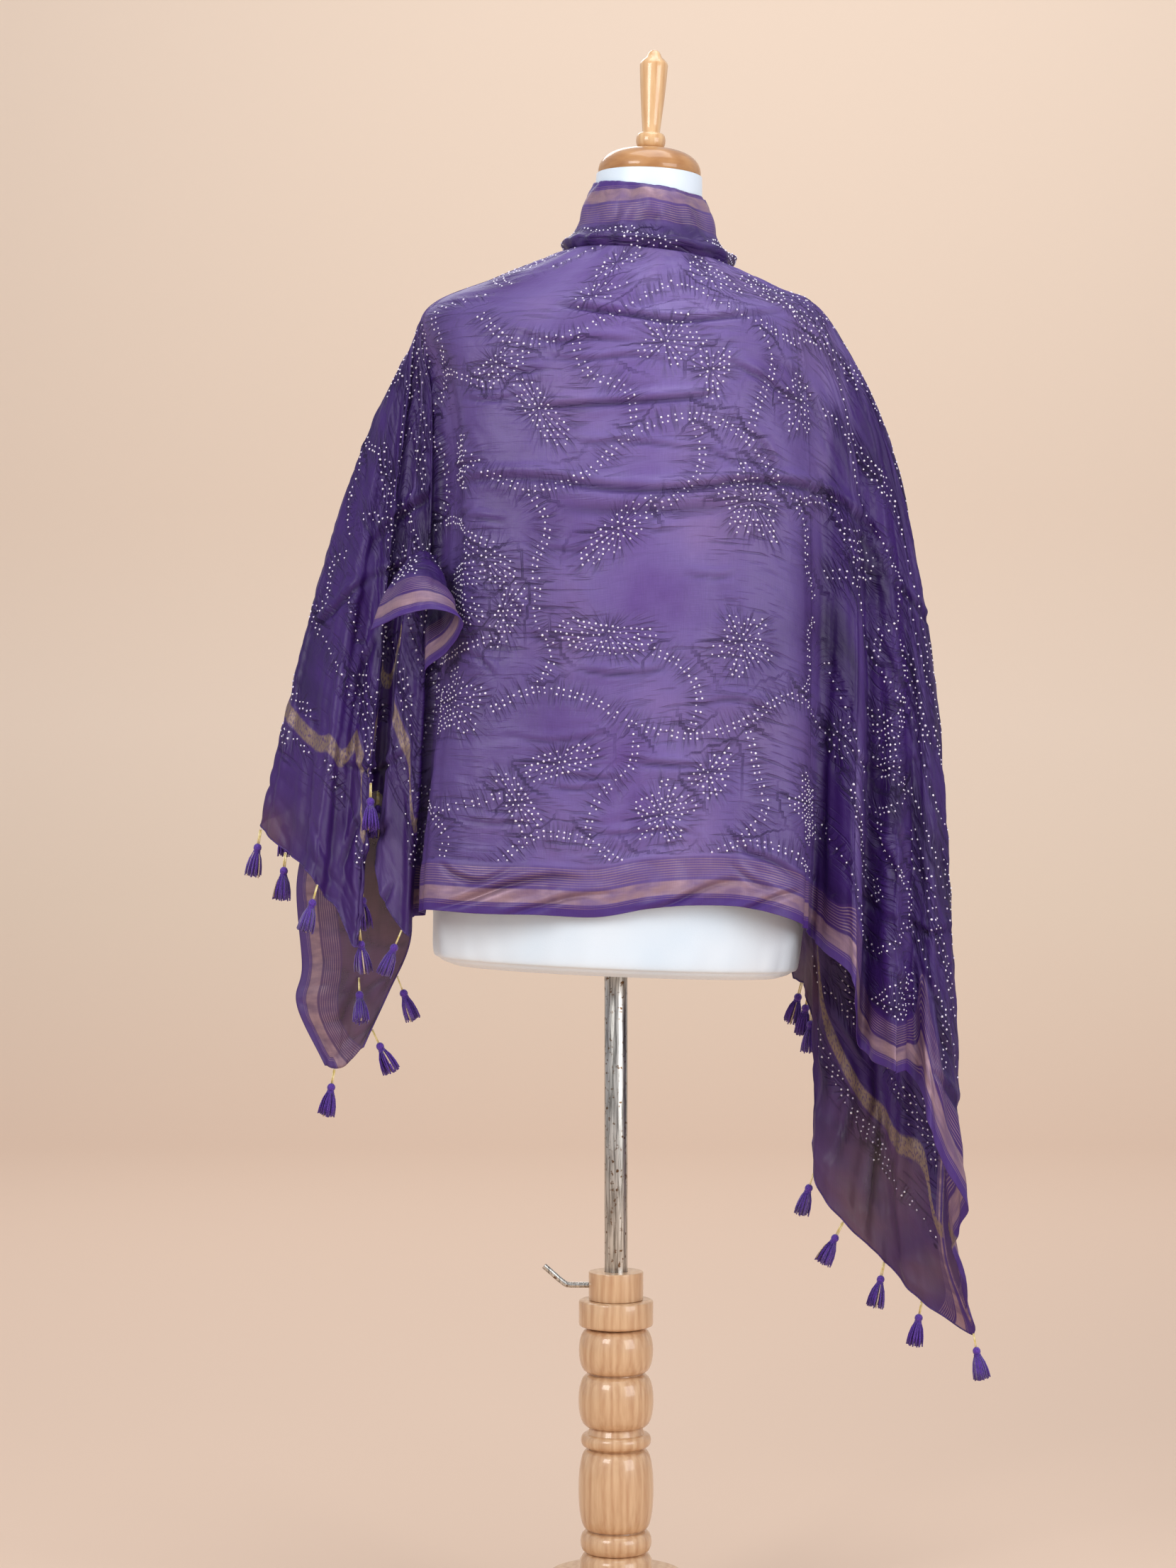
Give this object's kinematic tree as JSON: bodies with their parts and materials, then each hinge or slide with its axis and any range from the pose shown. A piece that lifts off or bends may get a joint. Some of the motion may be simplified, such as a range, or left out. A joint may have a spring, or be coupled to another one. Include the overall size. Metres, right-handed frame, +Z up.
{
  "type": "dupatta stole on dress form",
  "caption": "Long bordered stole wound round a limbless dress form's neck and falling over both shoulders in two tasselled wings, on a turned wooden stand with a height-adjusting pole",
  "frame": {"origin": "On the floor, at the centre of the stand's round base, on the axis of the pole", "axes": "+Z up along the pole; -Y is the side that the form's back faces; +X is the side with the longer wing"},
  "size_m": [0.7233, 0.38, 1.5475],
  "materials": {
    "silk": "soft sheen",
    "tassel_thread": "matt",
    "wood": "gloss lacquer",
    "form_cover": "smooth satin",
    "steel": "worn"
  },
  "bodies": {
    "stand": {"stand_base": "wood", "stand_hub": "wood", "stand_pillar": "wood", "stand_block": "wood"},
    "crank": {"crank_screw": "steel"},
    "form": {"form_pole": "steel", "form_torso": "form_cover", "form_cap": "wood", "form_finial": "wood", "stole_back": "silk", "stole_collar": "silk", "stole_left_back": "silk", "stole_left_end": "silk", "stole_left_flounce": "silk", "stole_left_front": "silk", "stole_right_back": "silk", "stole_right_front": "silk", "tassel_01": "tassel_thread", "tassel_02": "tassel_thread", "tassel_03": "tassel_thread", "tassel_04": "tassel_thread", "tassel_05": "tassel_thread", "tassel_06": "tassel_thread", "tassel_07": "tassel_thread", "tassel_08": "tassel_thread", "tassel_09": "tassel_thread", "tassel_10": "tassel_thread", "tassel_11": "tassel_thread", "tassel_12": "tassel_thread", "tassel_13": "tassel_thread", "tassel_14": "tassel_thread", "tassel_15": "tassel_thread", "tassel_16": "tassel_thread", "tassel_17": "tassel_thread", "tassel_18": "tassel_thread", "tassel_19": "tassel_thread", "tassel_20": "tassel_thread", "tassel_21": "tassel_thread", "tassel_22": "tassel_thread", "tassel_23": "tassel_thread", "tassel_24": "tassel_thread", "tassel_25": "tassel_thread", "tassel_26": "tassel_thread", "tassel_27": "tassel_thread", "tassel_28": "tassel_thread", "tassel_29": "tassel_thread", "tassel_30": "tassel_thread", "tassel_end_1": "tassel_thread", "tassel_end_2": "tassel_thread", "tassel_end_3": "tassel_thread", "tassel_end_4": "tassel_thread"}
  },
  "joints": [
    {"name": "height_slide", "type": "slide", "parent": "stand", "child": "form", "axis": [0, 0, 1], "range_m": [-0.15, 0.08]},
    {"name": "clamp_turn", "type": "hinge", "parent": "stand", "child": "crank", "pos_m": [0, 0, 0.3455], "axis": [1, 0, 0], "range_deg": [0, 270]}
  ]
}
